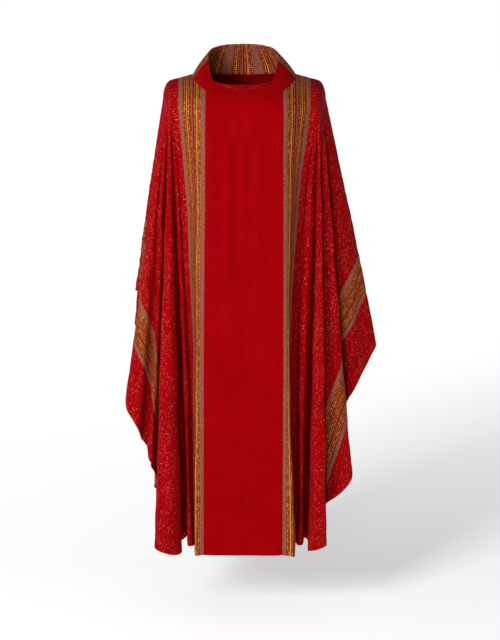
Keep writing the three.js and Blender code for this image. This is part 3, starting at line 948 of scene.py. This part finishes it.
def band(name, width, start, groups, lines):
    """Patterned band: taupe borders, groups of chequered gold thread parted by thin mauve lines."""
    m = Material(name)
    if start is None:
        across = m.math("WRAP", m.u, width, 0.0)
    else:
        across = m.math("SUBTRACT", m.math("ABSOLUTE", m.u), start)
    # the weaver's beat is never quite even
    drift = m.noise(m.vector(m.math("MULTIPLY", m.u, 14), m.math("MULTIPLY", m.v, 22)), 1.0, 2.0)
    along = m.math("MULTIPLY_ADD", drift, 0.004, m.v)
    gold, line = 0.0, 0.0
    for low, high in groups:
        past_low = m.step(across, low - 0.0004, low + 0.0004)
        before_high = m.step(across, high + 0.0004, high - 0.0004)
        gold = m.math("ADD", gold, m.math("MULTIPLY", past_low, before_high))
    for centre in lines:
        off = m.math("ABSOLUTE", m.math("SUBTRACT", across, centre))
        line = m.math("ADD", line, m.step(off, 0.0013, 0.0008))
    first, last = groups[0][0] - 0.0012, groups[-1][1] + 0.0012
    border = m.math(
        "ADD", m.step(across, first + 0.0003, first - 0.0003), m.step(across, last - 0.0003, last + 0.0003)
    )
    edge_red = 0.0
    for low, high in groups:
        for place in (low - 0.0008, high + 0.0008):
            off = m.math("ABSOLUTE", m.math("SUBTRACT", across, place))
            edge_red = m.math("ADD", edge_red, m.step(off, 0.0011, 0.0007))

    # gold floats stand in columns parted by red warp, in a check along the band
    pitch = 0.0054
    offset = m.math("SUBTRACT", across, groups[0][0] + 0.0001)
    column = m.math("SINE", m.math("MULTIPLY", offset, 2 * math.pi / pitch))
    beat = 0.0061
    row = m.math("SINE", m.math("MULTIPLY", along, 2 * math.pi / beat))
    column_number = m.math("FLOOR", m.math("MULTIPLY", across, 2 / pitch))
    row_number = m.math("FLOOR", m.math("MULTIPLY", along, 1 / beat))
    cell = m.vector(column_number, row_number)
    rand = m.node("ShaderNodeTexWhiteNoise", {"Vector": cell}, noise_dimensions="3D").outputs["Value"]
    upright = m.step(column, 0.05, 0.5)
    check = m.math("MULTIPLY", upright, m.step(row, -0.3, 0.3))
    on = m.math("MINIMUM", m.math("MULTIPLY_ADD", upright, 0.12, check), 1.0)
    # painted highlights: floats picked at random are coloured towards the bright gold, as glints
    painted_glint = m.step(rand, 0.35, 0.95)
    ground = m.mix(m.noise(cell, 0.7), DARK_RED, RUST)
    gold_colour = m.mix(m.math("MULTIPLY", on, 0.95), ground, m.mix(painted_glint, GOLD, GOLD_AND_PAINTED_GLINT))

    rib = m.noise(m.vector(m.math("MULTIPLY", across, 700), m.math("MULTIPLY", m.v, 160)), 1.0, 2.0)
    taupe = m.mix(m.step(rib, 0.36, 0.64), TAUPE_DARK, TAUPE_LIGHT)
    colour = m.mix(gold, m.mix(m.step(rib, 0.3, 0.7), MAUVE, TAUPE_LIGHT), gold_colour)
    # the thin gold lines are a brighter thread, brighter still in dashes along the band as painted glitter
    painted_glitter = m.math("MULTIPLY_ADD", m.step(row, -0.4, 0.3), 0.5, 0.28)
    colour = m.mix(m.math("MULTIPLY", line, painted_glitter), colour, GOLD_AND_PAINTED_GLINT)
    colour = m.mix(edge_red, colour, DARK_RED)
    colour = m.mix(border, colour, taupe)
    set_cloth(m, colour, 0.7, 0.06, (0.9, 0.4, 0.25))
    shine = m.math("MULTIPLY", gold, m.math("MULTIPLY_ADD", on, 0.5, 0.05))
    shine = m.math("MINIMUM", m.math("MULTIPLY_ADD", line, 0.4, shine), 0.8)
    m.put(m.shader.inputs["Metallic"], shine)
    m.put(m.shader.inputs["Roughness"], m.math("MULTIPLY_ADD", shine, -0.45, 0.75))
    threads = m.math("MULTIPLY_ADD", m.weave(0.0013), 0.4, m.math("MULTIPLY", rib, 0.4))
    floats = m.math("MULTIPLY", on, gold)
    height = m.math("MULTIPLY_ADD", floats, m.math("MULTIPLY_ADD", rand, 0.6, 0.6), threads)
    edges = [start + 0.0025, start + width - 0.0025] if start is not None else []
    if edges:
        colour, height = stitched(m, colour, height, edges)
        m.put(m.shader.inputs["Base Color"], colour)
    m.put(m.shader.inputs["Normal"], m.bump(height, 0.0004, 0.7))
    return m.material


def stiffening():
    m = Material("stiffening")
    threads = m.weave(0.0016)
    # painted shade: the colour is darker between the threads and lighter on top of them
    colour = m.mix(m.step(threads, 0.2, 0.8), (0.55, 0.5, 0.42), (0.75, 0.71, 0.62))
    set_cloth(m, colour, 0.95, 0.0, (1, 1, 1))
    m.put(m.shader.inputs["Normal"], m.bump(threads, 0.0003, 0.8))
    return m.material


wool = plain_wool()
fleck = flecked()
orphrey = band("orphrey_band", 0.075, 0.110, [(0.0125, 0.0345), (0.0405, 0.0625)], [0.0235, 0.0515])
sleeve = band("sleeve_band", 0.085, 0.595, [(0.0125, 0.030), (0.034, 0.051), (0.055, 0.0725)], [])
collar_band = band("collar_band", 0.075, None, [(0.0125, 0.0345), (0.0405, 0.0625)], [0.0235, 0.0515])
buckram = stiffening()
for piece_name, piece in PIECES.items():
    if piece_name == "collar_side_and_back":
        chosen = collar_band
    elif piece_name == "collar_stiffening":
        chosen = buckram
    elif "orphrey" in piece_name:
        chosen = orphrey
    elif "sleeve" in piece_name:
        chosen = sleeve
    elif "centre" in piece_name or piece_name == "collar_strip":
        chosen = wool
    else:
        chosen = fleck
    piece.data.materials.append(chosen)

# ---------------------------------------------------------------- floor, light, camera

FLOOR_Z = -1.55
FLOOR_HALF = 30
PAPER_WHITE = (0.93, 0.93, 0.93, 1)
SKY_STRENGTH = 0.26
KEY_POWER = 315
FILL_POWER = 95
CAMERA_PLACE = (0, -8.70, 1.74)
CAMERA_TILT = math.radians(75)
CAMERA_LENS = 181

floor_mesh = bpy.data.meshes.new("floor")
floor_corners = [(x * FLOOR_HALF, y * FLOOR_HALF, FLOOR_Z) for x, y in ((-1, -1), (1, -1), (1, 1), (-1, 1))]
floor_mesh.from_pydata(floor_corners, [], [(0, 1, 2, 3)])
floor_obj = bpy.data.objects.new("floor", floor_mesh)
bpy.context.scene.collection.objects.link(floor_obj)
paper = bpy.data.materials.new("paper")
paper.use_nodes = True
paper_shader = paper.node_tree.nodes["Principled BSDF"]
paper_shader.inputs["Base Color"].default_value = PAPER_WHITE
paper_shader.inputs["Roughness"].default_value = 0.9
paper_shader.inputs["Emission Color"].default_value = (1, 1, 1, 1)
# the paper glows a little, more towards the back, so that it stays pale where it lies in shade
glow = paper.node_tree.nodes.new("ShaderNodeMapRange")
paper_place = paper.node_tree.nodes.new("ShaderNodeTexCoord")
paper_axes = paper.node_tree.nodes.new("ShaderNodeSeparateXYZ")
paper.node_tree.links.new(paper_place.outputs["Object"], paper_axes.inputs[0])
paper.node_tree.links.new(paper_axes.outputs[1], glow.inputs[0])
for socket, value in ((1, 0.3), (2, 3.5), (3, 0.36), (4, 0.74)):
    glow.inputs[socket].default_value = value
paper.node_tree.links.new(glow.outputs[0], paper_shader.inputs["Emission Strength"])
floor_mesh.materials.append(paper)

world = bpy.data.worlds.new("studio")
world.use_nodes = True
world.node_tree.nodes["Background"].inputs[0].default_value = (1, 1, 1, 1)
world.node_tree.nodes["Background"].inputs[1].default_value = SKY_STRENGTH
bpy.context.scene.world = world


def area_light(name, place, target, size, power):
    data = bpy.data.lights.new(name, "AREA")
    data.shape = "RECTANGLE"
    data.size, data.size_y = size
    data.energy = power
    obj = bpy.data.objects.new(name, data)
    obj.location = place
    direction = np.array(target) - np.array(place)
    obj.rotation_euler = Vector(direction).to_track_quat("-Z", "Y").to_euler()
    bpy.context.scene.collection.objects.link(obj)


# a large soft key from the front left and a weaker fill beside the camera
area_light("key", (-3.1, -4.7, 1.9), (0, 0, -0.6), (1.9, 1.9), KEY_POWER)
area_light("fill", (-0.5, -7.4, 0.9), (0, 0, -0.7), (1.6, 1.6), FILL_POWER)

camera_data = bpy.data.cameras.new("camera")
camera_data.sensor_fit = "VERTICAL"
camera_data.sensor_height = 36
camera_data.lens = CAMERA_LENS
camera = bpy.data.objects.new("camera", camera_data)
camera.location = CAMERA_PLACE
camera.rotation_euler = (CAMERA_TILT, 0, 0)
camera_data.shift_x = 0.011
camera_data.shift_y = -0.061
bpy.context.scene.collection.objects.link(camera)
bpy.context.scene.camera = camera
bpy.context.scene.view_settings.view_transform = "Standard"
